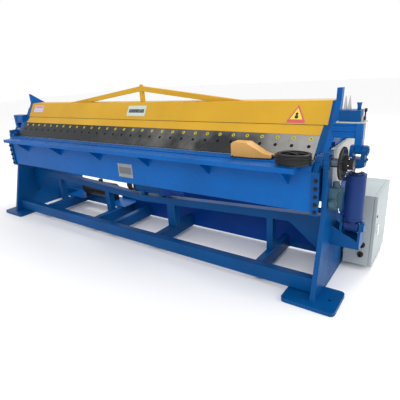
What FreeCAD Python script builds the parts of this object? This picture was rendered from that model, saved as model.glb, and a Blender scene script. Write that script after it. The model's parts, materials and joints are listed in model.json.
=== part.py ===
"""Hydraulic swing-beam sheet metal brake, 3.2 m between its side plates.

Millimetres. X runs along the machine, +Y to the rear, +Z up. The depths below are counted from the
side plates' vertical front edge, and place() shifts the whole model at the end, so that the origin
lies on the floor in the middle of the four anchor holes.
"""
import FreeCAD, Part
import math
import os

V = FreeCAD.Vector

# ---- driving dimensions -------------------------------------------------------------------------
SIDE_INNER = 1650.0          # half the distance between the side plates
SIDE_T = 30.0                # side plate thickness
SIDE_OUTER = SIDE_INNER + SIDE_T
BEAM_HALF = 1600.0           # half length of both swinging beams
FOLD_Y, FOLD_Z = 38.0, 835.0  # the bend line: axis of the folding beam
CLAMP_Y, CLAMP_Z = 700.0, 580.0  # rear pivot of the clamping beam
BED_GAP = 4.0                # the folding beam's edge to the bed
NOSE = (44.0, 838.0)         # tip of the clamping blade
BLADE_TOP = (155.0, 959.0)
CREASE = (212.0, 1011.0)
PANEL_TOP = (289.0, 1145.0)
CLAMP_BACK = 410.0           # rear face of the clamping beam's box
CYL_X, CYL_Y = 1787.0, 185.0  # lift cylinders' centre line
CYL_PIN_Z = 418.0            # lower pin
LIFT_PIN_Z = 882.0           # upper pin
ANCHOR_X = 1750.0            # anchor holes, half the spacing along X
ANCHOR_FRONT, ANCHOR_REAR = -72.0, 678.0
ANCHOR_R = 11.0
BOLT_PITCH = 105.5           # blade screws
BLADE_COLUMNS = 30
RAIL_LOW, RAIL_HIGH = 32.0, 131.0
RAIL_W = 56.0
CHORD_Y = 165.0              # front face of the bed's lower chord
CHORD_MID_Z, CHORD_SLOPE, CHORD_H = 366.0, 0.052, 60.0
PANEL_Y = -38.0              # folding panel's front face
LEDGE_TOP, LEDGE_LOW, LEDGE_FRONT, LEDGE_HALF = 828.0, 799.0, -150.0, 1540.0
CABLE_R = 4.5
DEPTH_TO_ORIGIN = (ANCHOR_FRONT + ANCHOR_REAR) / 2

NODES = {}


# ---- helpers ------------------------------------------------------------------------------------
def box(x0, x1, y0, y1, z0, z1):
    return Part.makeBox(x1 - x0, y1 - y0, z1 - z0, V(x0, y0, z0))


def soft_box(x0, x1, y0, y1, z0, z1, radius):
    """A box with all of its edges rounded."""
    plain = box(x0, x1, y0, y1, z0, z1)
    return plain.makeFillet(radius, plain.Edges)


def prism(points, start, end):
    """A closed polygon of vectors, extruded from start along end."""
    wire = Part.makePolygon([p + start for p in points] + [points[0] + start])
    return Part.Face(wire).extrude(end)


def prism_x(outline, x0, x1):
    """An outline of (y, z) points, extruded along X."""
    return prism([V(0, y, z) for y, z in outline], V(x0, 0, 0), V(x1 - x0, 0, 0))


def prism_y(outline, y0, y1):
    """An outline of (x, z) points, extruded along Y."""
    return prism([V(x, 0, z) for x, z in outline], V(0, y0, 0), V(0, y1 - y0, 0))


def prism_z(outline, z0, z1):
    """An outline of (x, y) points, extruded along Z."""
    return prism([V(x, y, 0) for x, y in outline], V(0, 0, z0), V(0, 0, z1 - z0))


def rod_x(x0, x1, y, z, r):
    return Part.makeCylinder(r, x1 - x0, V(x0, y, z), V(1, 0, 0))


def rod_y(y0, y1, x, z, r):
    return Part.makeCylinder(r, y1 - y0, V(x, y0, z), V(0, 1, 0))


def rod_z(z0, z1, x, y, r):
    return Part.makeCylinder(r, z1 - z0, V(x, y, z0), V(0, 0, 1))


def fuse(shapes):
    return shapes[0].multiFuse(shapes[1:]).removeSplitter()


def group(shapes):
    return Part.makeCompound(shapes)


def mirrored(shape):
    return shape.mirror(V(0, 0, 0), V(1, 0, 0))


def both_ends(shape):
    return group([mirrored(shape), shape])


def rounded(shape, radius, direction):
    """The shape with its straight edges along one direction rounded."""
    picked = []
    for edge in shape.Edges:
        if isinstance(edge.Curve, Part.Line):
            along = (edge.Vertexes[-1].Point - edge.Vertexes[0].Point).normalize()
            if abs(along.dot(direction)) > 0.999:
                picked.append(edge)
    return shape.makeFillet(radius, picked)


def tube_bar(x0, x1, y0, y1, z0, z1, wall, axis):
    """A rectangular hollow section, open at both ends along its axis."""
    outer = box(x0, x1, y0, y1, z0, z1)
    inset = {"x": (0, wall, wall), "y": (wall, 0, wall), "z": (wall, wall, 0)}[axis]
    inner = box(x0 + inset[0], x1 - inset[0], y0 + inset[1], y1 - inset[1], z0 + inset[2], z1 - inset[2])
    length_axis = {"x": V(1, 0, 0), "y": V(0, 1, 0), "z": V(0, 0, 1)}[axis]
    return rounded(outer, wall, length_axis).cut(inner)


def hex_bolt_y(x, y, z, across, head, washer_r):
    """A hexagon head and washer standing out of a face at y, towards -Y."""
    r = across / math.sqrt(3)
    turns = [math.radians(60 * i) for i in range(6)]
    corners = [(x + r * math.cos(a), z + r * math.sin(a)) for a in turns]
    disc = rod_y(y - 3.0, y, x, z, washer_r)
    return fuse([disc, prism_y(corners, y - 3.0 - head, y - 3.0)])


def place(name, shape):
    """Keeps a sub-part, shifted so that the origin is in the middle of the anchor holes."""
    moved = shape.copy()
    moved.translate(V(0, -DEPTH_TO_ORIGIN, 0))
    assert moved.isValid(), name
    NODES[name] = moved


# ---- fixed frame --------------------------------------------------------------------------------
POST_REAR, WINDOW_Z, SIDE_REAR = 86.0, 636.0, 780.0   # front post's rear edge, plate's top and rear edge
POST_TOP = 896.0
FLOOR_PLATE_T = 25.0
FLOOR_FRONT, FLOOR_REAR, FLOOR_DEPTH = -192.0, 551.0, 249.0


def side_plate():
    """Floor to bend line in one plate: slanting toe, tall front post, low body with the rear pivot."""
    front_end = FLOOR_FRONT + FLOOR_DEPTH
    outline = [(-135, FLOOR_PLATE_T), (0, 503), (0, POST_TOP), (POST_REAR, POST_TOP), (POST_REAR, WINDOW_Z),
               (SIDE_REAR - 40, WINDOW_Z), (SIDE_REAR, WINDOW_Z - 40), (SIDE_REAR, FLOOR_PLATE_T),
               (FLOOR_REAR, FLOOR_PLATE_T), (FLOOR_REAR, 4), (front_end, 4), (front_end, FLOOR_PLATE_T)]
    plate = prism_x(outline, SIDE_INNER, SIDE_OUTER)
    for y, z, r in ((FOLD_Y, FOLD_Z, 42.0), (CLAMP_Y, CLAMP_Z, 34.0)):
        plate = plate.cut(rod_x(SIDE_INNER - 1, SIDE_OUTER + 1, y, z, r))
    return plate


def floor_plates():
    plates = []
    for front, hole in ((FLOOR_FRONT, ANCHOR_FRONT), (FLOOR_REAR, ANCHOR_REAR)):
        plate = box(1486, 1810, front, front + FLOOR_DEPTH, 0, FLOOR_PLATE_T)
        plate = rounded(plate, 28.0, V(0, 0, 1))
        plate = plate.cut(rod_z(-1, FLOOR_PLATE_T + 1, ANCHOR_X, hole, ANCHOR_R))
        plates += [plate, mirrored(plate)]
    return group(plates)


def window_guard():
    """Pale sheet that closes the window behind the front post, with a folded top edge."""
    sheet = box(1662, 1665, POST_REAR, 640, WINDOW_Z, 900)
    return fuse([sheet, box(1665, 1680, POST_REAR, 640, 897, 900)])


CROSS_X = (-1192.0, -430.0, -188.0, 344.0, 1259.0)
POST_X = (-1191.0, -439.0, 357.0, 1254.0)
POST_W = (46.0, 56.0, 84.0, 46.0)
REAR_RAIL_Y, BACK_PANEL_X, BACK_PANEL_T = 455.0, -358.0, 6.0


def cross_rails():
    """Hollow cross members; where the back panel hangs, they stop at it."""
    rails = []
    for x in CROSS_X:
        rear = REAR_RAIL_Y if x < BACK_PANEL_X else REAR_RAIL_Y - BACK_PANEL_T
        rails.append(tube_bar(x - RAIL_W / 2, x + RAIL_W / 2, -8, rear, RAIL_LOW, RAIL_HIGH, 6, "y"))
    return group(rails)


def chord_low(x):
    return CHORD_MID_Z - CHORD_H + CHORD_SLOPE * abs(x)


def posts():
    made = []
    for x, width in zip(POST_X, POST_W):
        x0, x1 = x - width / 2, x + width / 2
        top = [(x0, RAIL_HIGH), (x1, RAIL_HIGH), (x1, chord_low(x1)), (x0, chord_low(x0))]
        shell = prism_y(top, CHORD_Y, CHORD_Y + 56)
        core = prism_y([(x0 + 5, 100), (x1 - 5, 100), (x1 - 5, 600), (x0 + 5, 600)], CHORD_Y + 5, CHORD_Y + 51)
        made.append(shell.cut(core))
    return group(made)


def lower_chord():
    """Shallow fish-belly member under the bed, lowest at mid length."""
    end_rise = CHORD_SLOPE * SIDE_INNER
    top = CHORD_MID_Z
    low = top - CHORD_H
    outline = [(-SIDE_INNER, top + end_rise), (0, top), (SIDE_INNER, top + end_rise),
               (SIDE_INNER, low + end_rise), (0, low), (-SIDE_INNER, low + end_rise)]
    outer = prism_y(outline, CHORD_Y, CHORD_Y + 60)
    wall = 6.0
    past = SIDE_INNER + 1
    inside = [(-past, top + end_rise - wall), (0, top - wall), (past, top + end_rise - wall),
              (past, low + end_rise + wall), (0, low + wall), (-past, low + end_rise + wall)]
    tube = outer.cut(prism_y(inside, CHORD_Y + wall, CHORD_Y + 60 - wall))
    gusset = corner_gusset()
    return fuse([tube, gusset, mirrored(gusset)])


def corner_gusset():
    top = chord_low(SIDE_INNER)
    return prism_y([(1392, chord_low(1392)), (SIDE_INNER, top), (SIDE_INNER, 168), (1632, 186)],
                   CHORD_Y, CHORD_Y + 16)


def back_panel():
    """Sheet in front of the rear rail behind the right-hand bays, cut up over the last bay."""
    y = REAR_RAIL_Y
    outline = [(BACK_PANEL_X, RAIL_LOW), (1290, RAIL_LOW), (1304, 82), (1452, 82), (1494, 40), (SIDE_INNER, 40),
               (SIDE_INNER, 378), (BACK_PANEL_X, 378)]
    sheet = prism_y(outline, y - BACK_PANEL_T, y)
    lip = box(BACK_PANEL_X, SIDE_INNER, y, y + 24, 372, 378)
    return fuse([sheet, lip])


def long_rails():
    """Front and rear floor rails between the side plates."""
    front = tube_bar(-SIDE_INNER, SIDE_INNER, -68, -8, RAIL_LOW, RAIL_HIGH, 6, "x")
    rear = tube_bar(-SIDE_INNER, SIDE_INNER, REAR_RAIL_Y, REAR_RAIL_Y + 60, RAIL_LOW, RAIL_HIGH, 6, "x")
    return group([front, rear])


BED_FRONT = FOLD_Y + BED_GAP
BED_HALF = 1594.0


def bed_beam():
    """Box beam under the table, bolted between the side plates behind the folding arms."""
    outer = [(BED_FRONT + 6, 815), (BED_FRONT + 6, 690), (96, 566), (262, 566), (262, 815)]
    inner = [(BED_FRONT + 20, 801), (BED_FRONT + 20, 694), (104, 580), (248, 580), (248, 801)]
    beam = prism_x(outer, -BED_HALF, BED_HALF).cut(prism_x(inner, -BED_HALF - 1, BED_HALF + 1))
    end = box(BED_HALF, SIDE_INNER, 120, 262, 566, 815)
    return fuse([beam, end, mirrored(end)])


def bed_table():
    """Hardened table plate: its front edge is the lower jaw of the bend line."""
    outline = [(BED_FRONT, 815), (BED_FRONT, 834), (BED_FRONT + 1, 835), (300, 835), (300, 815)]
    return prism_x(outline, -BED_HALF, BED_HALF)


def bearing(y, z, flange_t, flange_r, bore_r):
    """A bush in the side plate, flanged on its outer face."""
    hole_r = 42.0 if z == FOLD_Z else 34.0
    body = fuse([rod_x(SIDE_INNER, SIDE_OUTER, y, z, hole_r),
                 rod_x(SIDE_OUTER, SIDE_OUTER + flange_t, y, z, flange_r)])
    return body.cut(rod_x(SIDE_INNER - 1, SIDE_OUTER + flange_t + 1, y, z, bore_r))


def bearings():
    fold = bearing(FOLD_Y, FOLD_Z, 5, 41.9, 25.05)
    clamp = bearing(CLAMP_Y, CLAMP_Z, 2, 33.9, 20.05)
    return group([fold, mirrored(fold), clamp, mirrored(clamp)])


# ---- hydraulics ---------------------------------------------------------------------------------
def cylinder_bracket():
    """Welded seat for a lift cylinder: floor channel, two gussets, two ears and the pin pressed in them."""
    out = 1846.0
    front, rear = 128.0, 242.0
    shape = [box(SIDE_OUTER, out, front, rear, 290, 302)]
    for y in (front, rear - 8):
        shape.append(box(SIDE_OUTER, out, y, y + 8, 302, 326))
        gusset = [(SIDE_OUTER, 322), (out - 12, 322), (out - 12, 338), (SIDE_OUTER, 414)]
        shape.append(prism_y(gusset, y, y + 8))
    root = [(front, 290), (rear, 290), (rear, 340), (CYL_Y + 36, CYL_PIN_Z),
            (CYL_Y - 36, CYL_PIN_Z), (front, 340)]
    for x in (1722, out - 14):
        shape += [prism_x(root, x, x + 14), rod_x(x, x + 14, CYL_Y, CYL_PIN_Z, 36)]
    pin = rod_x(1716, out + 6, CYL_Y, CYL_PIN_Z, 17.95)
    head = rod_x(out, out + 12, CYL_Y, CYL_PIN_Z, 30)
    return fuse(shape + [pin, head])


BARREL_R = 56.0
PORT_Z = (496.0, 712.0)
BARREL_Z = (464.0, 742.0)


def cylinder_barrel():
    """Barrel with its lower eye, upper gland and two ports towards the side plate."""
    eye = rod_x(1746, 1826, CYL_Y, CYL_PIN_Z, 36)
    neck = rod_z(CYL_PIN_Z + 10, BARREL_Z[0] + 4, CYL_X, CYL_Y, 32)
    tube = rod_z(BARREL_Z[0], BARREL_Z[1], CYL_X, CYL_Y, BARREL_R)
    rims = [rod_z(z, z + 10, CYL_X, CYL_Y, BARREL_R + 2) for z in (BARREL_Z[0], BARREL_Z[1] - 10)]
    collar = rod_z(BARREL_Z[1], BARREL_Z[1] + 8, CYL_X, CYL_Y, 45)
    ports = [rod_x(CYL_X - 68, CYL_X - 40, CYL_Y - 22, z, 12) for z in PORT_Z]
    body = fuse([eye, neck, tube, collar] + rims + ports)
    body = body.cut(rod_x(1700, 1900, CYL_Y, CYL_PIN_Z, 18.0))
    bore = rod_z(502, 724, CYL_X, CYL_Y, 40)
    throat = rod_z(720, 760, CYL_X, CYL_Y, 22.55)
    return body.cut(bore).cut(throat)


def lift_rod():
    """Chromed rod with its piston."""
    return fuse([rod_z(550, 790, CYL_X, CYL_Y, 22.5), rod_z(524, 550, CYL_X, CYL_Y, 39.95)])


def rod_fork():
    """Fork on top of the rod, with the pin for the beam's tongue."""
    profile = [(CYL_Y - 36, 812), (CYL_Y - 36, 884), (CYL_Y - 20, 908), (CYL_Y + 20, 908), (CYL_Y + 36, 884),
               (CYL_Y + 36, 812), (CYL_Y + 26, 790), (CYL_Y - 26, 790)]
    block = prism_x(profile, CYL_X - 42, CYL_X + 42)
    slot = box(CYL_X - 21, CYL_X + 21, CYL_Y - 60, CYL_Y + 60, 838, 920)
    collar = rod_z(782, 790, CYL_X, CYL_Y, 30).cut(rod_z(780, 791, CYL_X, CYL_Y, 22.5))
    pin = rod_x(CYL_X - 46, CYL_X + 56, CYL_Y, LIFT_PIN_Z, 15.0)
    boss = rod_x(CYL_X + 42, CYL_X + 52, CYL_Y, LIFT_PIN_Z, 27)
    return fuse([block.cut(slot), collar, pin, boss])


def valve_block():
    """Finned valve block with its solenoid and bell-shaped coil, on the right side plate."""
    x0 = SIDE_OUTER
    core = box(x0, x0 + 44, 34, 122, 560, 684)
    fins = [box(x0 + 44, x0 + 56, 36, 120, z, z + 8) for z in range(568, 680, 14)]
    bell = fuse([rod_y(14, 34, x0 + 26, 600, 24), rod_y(4, 14, x0 + 26, 600, 17)])
    coil = rod_z(684, 716, x0 + 24, 78, 17)
    return fuse([core, bell, coil] + fins)


MOTOR_X, MOTOR_Y, MOTOR_Z, MOTOR_R = -10.0, 195.0, 452.0, 60.0
MOTOR_END = MOTOR_X + 310.0


def motor_body():
    """Electric motor of the pump set: a drum with a terminal box and feet on the lower chord."""
    drum = rod_x(MOTOR_X, MOTOR_END, MOTOR_Y, MOTOR_Z, MOTOR_R)
    flange = rod_x(MOTOR_END, MOTOR_END + 14, MOTOR_Y, MOTOR_Z, MOTOR_R + 6)
    feet = [box(x, x + 40, CHORD_Y + 6, CHORD_Y + 54, chord_low(x) + CHORD_H + 3, MOTOR_Z - 48)
            for x in (MOTOR_X + 30, MOTOR_END - 70)]
    terminal = soft_box(MOTOR_X + 110, MOTOR_X + 200, MOTOR_Y + 48, MOTOR_Y + 96, MOTOR_Z - 38, MOTOR_Z + 38, 5)
    return fuse([drum, flange, terminal] + feet)


def motor_cowl():
    """Fan cowl pushed over the motor's rear end."""
    cup = rod_x(MOTOR_X - 98, MOTOR_X, MOTOR_Y, MOTOR_Z, MOTOR_R + 5)
    cup = cup.makeFillet(8, [e for e in cup.Edges if e.Closed and e.BoundBox.XMax < MOTOR_X - 50])
    return cup.cut(rod_x(MOTOR_X - 84, MOTOR_X + 1, MOTOR_Y, MOTOR_Z, MOTOR_R))


def pump():
    """Bell housing, pump and the rigid pressure line that runs on to the right-hand side plate."""
    start = MOTOR_END + 14
    bell = Part.makeCone(MOTOR_R + 6, 46, 76, V(start, MOTOR_Y, MOTOR_Z), V(1, 0, 0))
    body = rod_x(start + 76, start + 200, MOTOR_Y, MOTOR_Z, 42)
    line_z = MOTOR_Z + 32
    riser = rod_z(MOTOR_Z, line_z + 12, start + 180, MOTOR_Y, 20)
    line = rod_x(start + 180, SIDE_INNER, MOTOR_Y, line_z, 12)
    return fuse([bell, body, riser, line])


TRAYS = ((-1290.0, -995.0), (-624.0, -362.0))


def trays():
    """Two folded trays over the left-hand bays, on the cross rails and the rear rail."""
    made = []
    for x0, x1 in TRAYS:
        sheet = box(x0, x1, 290, 515, RAIL_HIGH, RAIL_HIGH + 8)
        made.append(fuse([sheet, box(x0, x1, 507, 515, RAIL_HIGH + 8, RAIL_HIGH + 44)]))
    return group(made)


def oil_drum():
    """Dark oil reservoir that bridges the two trays."""
    top = RAIL_HIGH + 8
    x0, x1 = TRAYS[0][1] - 40, TRAYS[1][0] + 40
    drum = rod_x(x0, x1, 392, top + 104, 80)
    drum = drum.makeFillet(22, [e for e in drum.Edges if e.Closed])
    feet = [box(x, x + 24, 346, 438, top, top + 50) for x in (x0 + 10, x1 - 34)]
    neck = rod_z(top + 170, top + 212, -795, 392, 22)
    return fuse([drum, neck] + feet)


# ---- electric cabinet ---------------------------------------------------------------------------
CAB = (1694.0, 1880.0, 420.0, 850.0, 34.0, 536.0)
HANDLE_Z = 332.0


def cabinet_box():
    """Sheet case, open on its +X side, with a flange round the door opening."""
    x0, x1, y0, y1, z0, z1 = CAB
    shell = box(x0, x1 - 22, y0, y1, z0, z1).cut(box(x0 + 2, x1 - 10, y0 + 2, y1 - 2, z0 + 2, z1 - 2))
    rim = box(x1 - 24, x1 - 22, y0, y1, z0, z1).cut(box(x1 - 30, x1, y0 + 22, y1 - 22, z0 + 22, z1 - 22))
    spacers = [rod_x(SIDE_OUTER, x0 + 1, y, z, 14) for y in (y0 + 50, 700.0) for z in (z0 + 60, z1 - 60)]
    knuckles = []
    for z in (z0 + 60, z1 - 120):
        knuckles += [box(x1 - 60, x1 - 24, y1, y1 + 4, z, z + 60), rod_z(z, z + 60, x1 - 22, y1 + 7, 6)]
    return fuse([shell, rim] + spacers + knuckles)


def cabinet_door():
    """Folded door on the +X side, hinged along its rear edge."""
    _, x1, y0, y1, z0, z1 = CAB
    outer = box(x1 - 21, x1, y0, y1, z0, z1)
    door = rounded(outer, 3.0, V(0, 0, 1)).cut(box(x1 - 22, x1 - 2, y0 + 2, y1 - 2, z0 + 2, z1 - 2))
    return door.cut(rod_x(x1 - 5, x1 + 1, y0 + 30, HANDLE_Z, 9))


def door_handle():
    """Quarter-turn lever handle near the door's front edge."""
    x1, y = CAB[1], CAB[2] + 30
    hub = rod_x(x1 - 2, x1 + 8, y, HANDLE_Z, 8.95)
    grip = soft_box(x1 + 8, x1 + 16, y - 6, y + 6, HANDLE_Z - 66, HANDLE_Z + 12, 3)
    washer = rod_x(x1 - 6, x1 - 2, y, HANDLE_Z, 13)
    return fuse([hub, grip, washer])


def cabinet_glands():
    """Two round cable glands on the case's front."""
    y0 = CAB[2]
    made = []
    for x, z in ((1812.0, 188.0), (1806.0, 116.0)):
        nut = rod_y(y0 - 12, y0, x, z, 19)
        dome = rod_y(y0 - 26, y0 - 12, x, z, 14)
        made.append(fuse([nut, dome]).cut(rod_y(y0 - 27, y0 - 8, x, z, 8)))
    return group(made)


# ---- folding beam -------------------------------------------------------------------------------
def fold_ledge():
    """Top plate of the folding beam, with the strip seat behind."""
    outline = [(LEDGE_FRONT + 2, LEDGE_TOP), (LEDGE_FRONT, LEDGE_TOP - 2), (LEDGE_FRONT, LEDGE_LOW),
               (FOLD_Y, LEDGE_LOW), (FOLD_Y, LEDGE_TOP)]
    plate = prism_x(outline, -BEAM_HALF, BEAM_HALF)
    for x in (-BEAM_HALF, LEDGE_HALF):
        corner = box(x, x + BEAM_HALF - LEDGE_HALF, LEDGE_FRONT - 1, -52, LEDGE_LOW - 1, LEDGE_TOP + 1)
        plate = plate.cut(corner)
    return plate


def bending_strip():
    """Replaceable wear strip whose rear top edge is the fold axis."""
    outline = [(-44, LEDGE_TOP), (-44, FOLD_Z - 2), (-42, FOLD_Z), (FOLD_Y, FOLD_Z), (FOLD_Y, LEDGE_TOP)]
    return prism_x(outline, -BEAM_HALF, BEAM_HALF)


PANEL_END_Z, PANEL_MID_Z, PANEL_FLAT_X = 549.0, 538.0, 1150.0


def fold_panel():
    """Fish-belly front plate of the folding beam."""
    outline = [(-BEAM_HALF, LEDGE_LOW), (BEAM_HALF, LEDGE_LOW), (BEAM_HALF, PANEL_END_Z),
               (PANEL_FLAT_X, PANEL_END_Z), (0, PANEL_MID_Z), (-PANEL_FLAT_X, PANEL_END_Z),
               (-BEAM_HALF, PANEL_END_Z)]
    return prism_y(outline, PANEL_Y, PANEL_Y + 14)


def fold_web():
    """Stiffening box behind the panel, above its lower edge."""
    back = box(-BEAM_HALF, BEAM_HALF, FOLD_Y - 14, FOLD_Y - 2, 702, LEDGE_LOW)
    floor = box(-BEAM_HALF, BEAM_HALF, PANEL_Y + 14, FOLD_Y - 2, 690, 702)
    return fuse([back, floor])


GUSSET_X = [-1315.0 + 555.0 * i for i in range(6)]


def ledge_gussets():
    outline = [(PANEL_Y, LEDGE_LOW), (LEDGE_FRONT + 4, LEDGE_LOW), (LEDGE_FRONT + 4, LEDGE_LOW - 6),
               (PANEL_Y, 702)]
    return group([prism_x(outline, x - 5, x + 5) for x in GUSSET_X])


ARM = (1602.0, 1646.0)


def fold_arm():
    """End arm: front flange, web back to the pivot, and the pivot boss."""
    flange = box(ARM[0], ARM[1], PANEL_Y - 12, PANEL_Y, 536, 792)
    web = prism_x([(PANEL_Y, 536), (PANEL_Y, 792), (-6, FOLD_Z), (FOLD_Y, FOLD_Z), (FOLD_Y + 30, 810),
                   (FOLD_Y + 14, 700), (-6, 536)], ARM[0] + 2, ARM[0] + 32)
    boss = rod_x(ARM[0], ARM[1], FOLD_Y, FOLD_Z, 40)
    return fuse([flange, web, boss]).cut(rod_x(ARM[0] - 1, ARM[1] + 1, FOLD_Y, FOLD_Z, 25.0))


ARM_BOLT_Z = (745.0, 698.0, 651.0, 604.0, 560.0)


def arm_bolts():
    right = [hex_bolt_y(1628, PANEL_Y - 12, z, 17, 9, 11) for z in ARM_BOLT_Z]
    return group(right + [mirrored(b) for b in right])


def fold_shaft(outer_end):
    """Stub shaft keyed in the arm's boss and running in the side plate's bush."""
    return rod_x(ARM[0] + 2, outer_end, FOLD_Y, FOLD_Z, 25.0)


def dial_disc():
    """Disc on the right-hand shaft: a plain wheel with setting holes, and a long bolted hub outside it."""
    rim = rod_x(1737, 1750, FOLD_Y, FOLD_Z, 92)
    rim = rim.makeFillet(4, [e for e in rim.Edges if e.Closed])
    boss = rod_x(1724, 1737, FOLD_Y, FOLD_Z, 36)
    hub = rod_x(1750, 1776, FOLD_Y, FOLD_Z, 42)
    cap = rod_x(1776, 1802, FOLD_Y, FOLD_Z, 30)
    wheel = fuse([rim, boss, hub, cap]).cut(rod_x(1700, 1784, FOLD_Y, FOLD_Z, 25.0))
    holes = []
    for i in range(12):
        a = math.radians(30 * i + 15)
        holes.append(rod_x(1730, 1755, FOLD_Y + 66 * math.cos(a), FOLD_Z + 66 * math.sin(a), 5))
    return wheel.cut(group(holes))


# ---- clamping beam ------------------------------------------------------------------------------
def unit(a, b):
    length = math.hypot(b[0] - a[0], b[1] - a[1])
    return ((b[0] - a[0]) / length, (b[1] - a[1]) / length)


def slab(a, b, thick, start=0.0, end=0.0):
    """(y, z) outline of a plate whose front face runs from a to b, thickened to the rear."""
    u = unit(a, b)
    n = (u[1], -u[0])
    p = (a[0] + u[0] * start, a[1] + u[1] * start)
    q = (b[0] - u[0] * end, b[1] - u[1] * end)
    return [p, q, (q[0] + n[0] * thick, q[1] + n[1] * thick), (p[0] + n[0] * thick, p[1] + n[1] * thick)]


BLADE_T = 22.0
BLADE_HALF = 1577.0
BLADE_DIR = unit(NOSE, BLADE_TOP)
BLADE_IN = (BLADE_DIR[1], -BLADE_DIR[0])


def on_blade(along, depth=0.0):
    """(y, z) of a point on the blade's face, counted up from its nose and inwards."""
    return (NOSE[0] + BLADE_DIR[0] * along + BLADE_IN[0] * depth,
            NOSE[1] + BLADE_DIR[1] * along + BLADE_IN[1] * depth)


def blade_cylinder(x, along, out, deep, r):
    """A cylinder square to the blade's face, from out in front of it to deep behind it."""
    y, z = on_blade(along, -out)
    return Part.makeCylinder(r, out + deep, V(x, y, z), V(0, BLADE_IN[0], BLADE_IN[1]))


LOWER_ROW, UPPER_ROW = 86.0, 139.0
COLUMN_X = [(i - (BLADE_COLUMNS - 1) / 2) * BOLT_PITCH for i in range(BLADE_COLUMNS)]


def clamp_blade():
    """Steel blade, its underside flat on the sheet, with a row of screw holes and a row of spare ones."""
    back = on_blade(0, BLADE_T)
    heel = on_blade((NOSE[1] - back[1]) / BLADE_DIR[1], BLADE_T)
    top = math.dist(NOSE, BLADE_TOP)
    outline = [(NOSE[0] + 1.5, NOSE[1]), on_blade(1.5), BLADE_TOP, on_blade(top, BLADE_T), heel]
    blade = prism_x(outline, -BLADE_HALF, BLADE_HALF)
    cutters = []
    for x in COLUMN_X:
        cutters.append(blade_cylinder(x, LOWER_ROW, 1, 10, 11.5))
        cutters.append(blade_cylinder(x, UPPER_ROW, 1, 10, 8.0))
    return blade.cut(group(cutters))


def blade_screws():
    """Socket heads sunk in the lower row."""
    made = []
    for x in COLUMN_X:
        head = blade_cylinder(x, LOWER_ROW, -2, 10, 10.6)
        made.append(head.cut(blade_cylinder(x, LOWER_ROW, -1, 6, 5.2)))
    return group(made)


def face_strip():
    """Lower strip of the beam's face, between the blade and the crease."""
    return prism_x(slab(BLADE_TOP, CREASE, 16, start=1.7), -BLADE_HALF, BLADE_HALF)


def upper_panel():
    """Leaning face panel with its folded top."""
    face = prism_x(slab(CREASE, PANEL_TOP, 10, start=0.3), -BEAM_HALF, BEAM_HALF)
    y, z = PANEL_TOP
    top = box(-BEAM_HALF, BEAM_HALF, y, CLAMP_BACK - 10, z - 10, z)
    return fuse([face, top])


def clamp_spine():
    """Structure inside the beam: the blade's backing bar, floor plate, back plate and ribs."""
    bar = prism_x([on_blade(38, BLADE_T), on_blade(160, BLADE_T), on_blade(160, BLADE_T + 30),
                   on_blade(68, BLADE_T + 30)], -BLADE_HALF, BLADE_HALF)
    rear = CLAMP_BACK - 10
    floor = box(-BEAM_HALF, BEAM_HALF, 134, rear, 872, 886)
    back = box(-BEAM_HALF, BEAM_HALF, rear, CLAMP_BACK, 872, PANEL_TOP[1])
    web = [(150, 886), (rear, 886), (rear, 1120), (300, 1120), (215, 980)]
    ribs = [prism_x(web, x, x + 10) for x in range(-1405, 1406, 350)]
    return fuse([bar, floor, back] + ribs)


FLANGE = (BEAM_HALF, 1618.0)
CHEEK = (1618.0, 1648.0)


def end_flange():
    """Plate that closes the beam's box, with the filler beside the blade's end."""
    outline = [(82, 873), BLADE_TOP, CREASE, PANEL_TOP, (CLAMP_BACK, PANEL_TOP[1]),
               (CLAMP_BACK, 872), (84, 872)]
    plate = prism_x(outline, FLANGE[0], FLANGE[1])
    filler = [on_blade(40), BLADE_TOP, CREASE, (CREASE[0] + 11, CREASE[1] - 12), on_blade(160, 20),
              on_blade(60, 20)]
    return fuse([plate, prism_x(filler, BLADE_HALF, FLANGE[0])])


RIGHT_EAR = [(297, 1216), (343, 1216), (322, 1085)]
LEFT_EAR = [(290, 1243), (450, 1138), (380, 1085)]


def cheek(ear):
    """Outer end plate: leans with the face, stands up as an ear, and runs back and down to the pivot."""
    outline = [(82, 872), BLADE_TOP, CREASE, PANEL_TOP] + ear
    outline += [(372, 1010), (620, 985), (734, 900), (742, 580), (728, 552), (700, 541), (672, 552), (658, 580),
                (652, 840), (600, 872)]
    plate = prism_x(outline, CHEEK[0], CHEEK[1])
    return plate.cut(rod_x(CHEEK[0] - 1, CHEEK[1] + 1, CLAMP_Y, CLAMP_Z, 20.0))


def clamp_pivot():
    """Shaft through the cheek and the side plate's bush, with an inner collar and a spacer."""
    shaft = rod_x(CHEEK[0] - 8, SIDE_OUTER + 8, CLAMP_Y, CLAMP_Z, 20.0)
    collar = rod_x(CHEEK[0] - 8, CHEEK[0], CLAMP_Y, CLAMP_Z, 32)
    spacer = rod_x(CHEEK[1], SIDE_INNER - 0.5, CLAMP_Y, CLAMP_Z, 32)
    return fuse([shaft, collar, spacer])


LIFT_ARM = (150.0, 222.0, 952.0, 1034.0)


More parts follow.
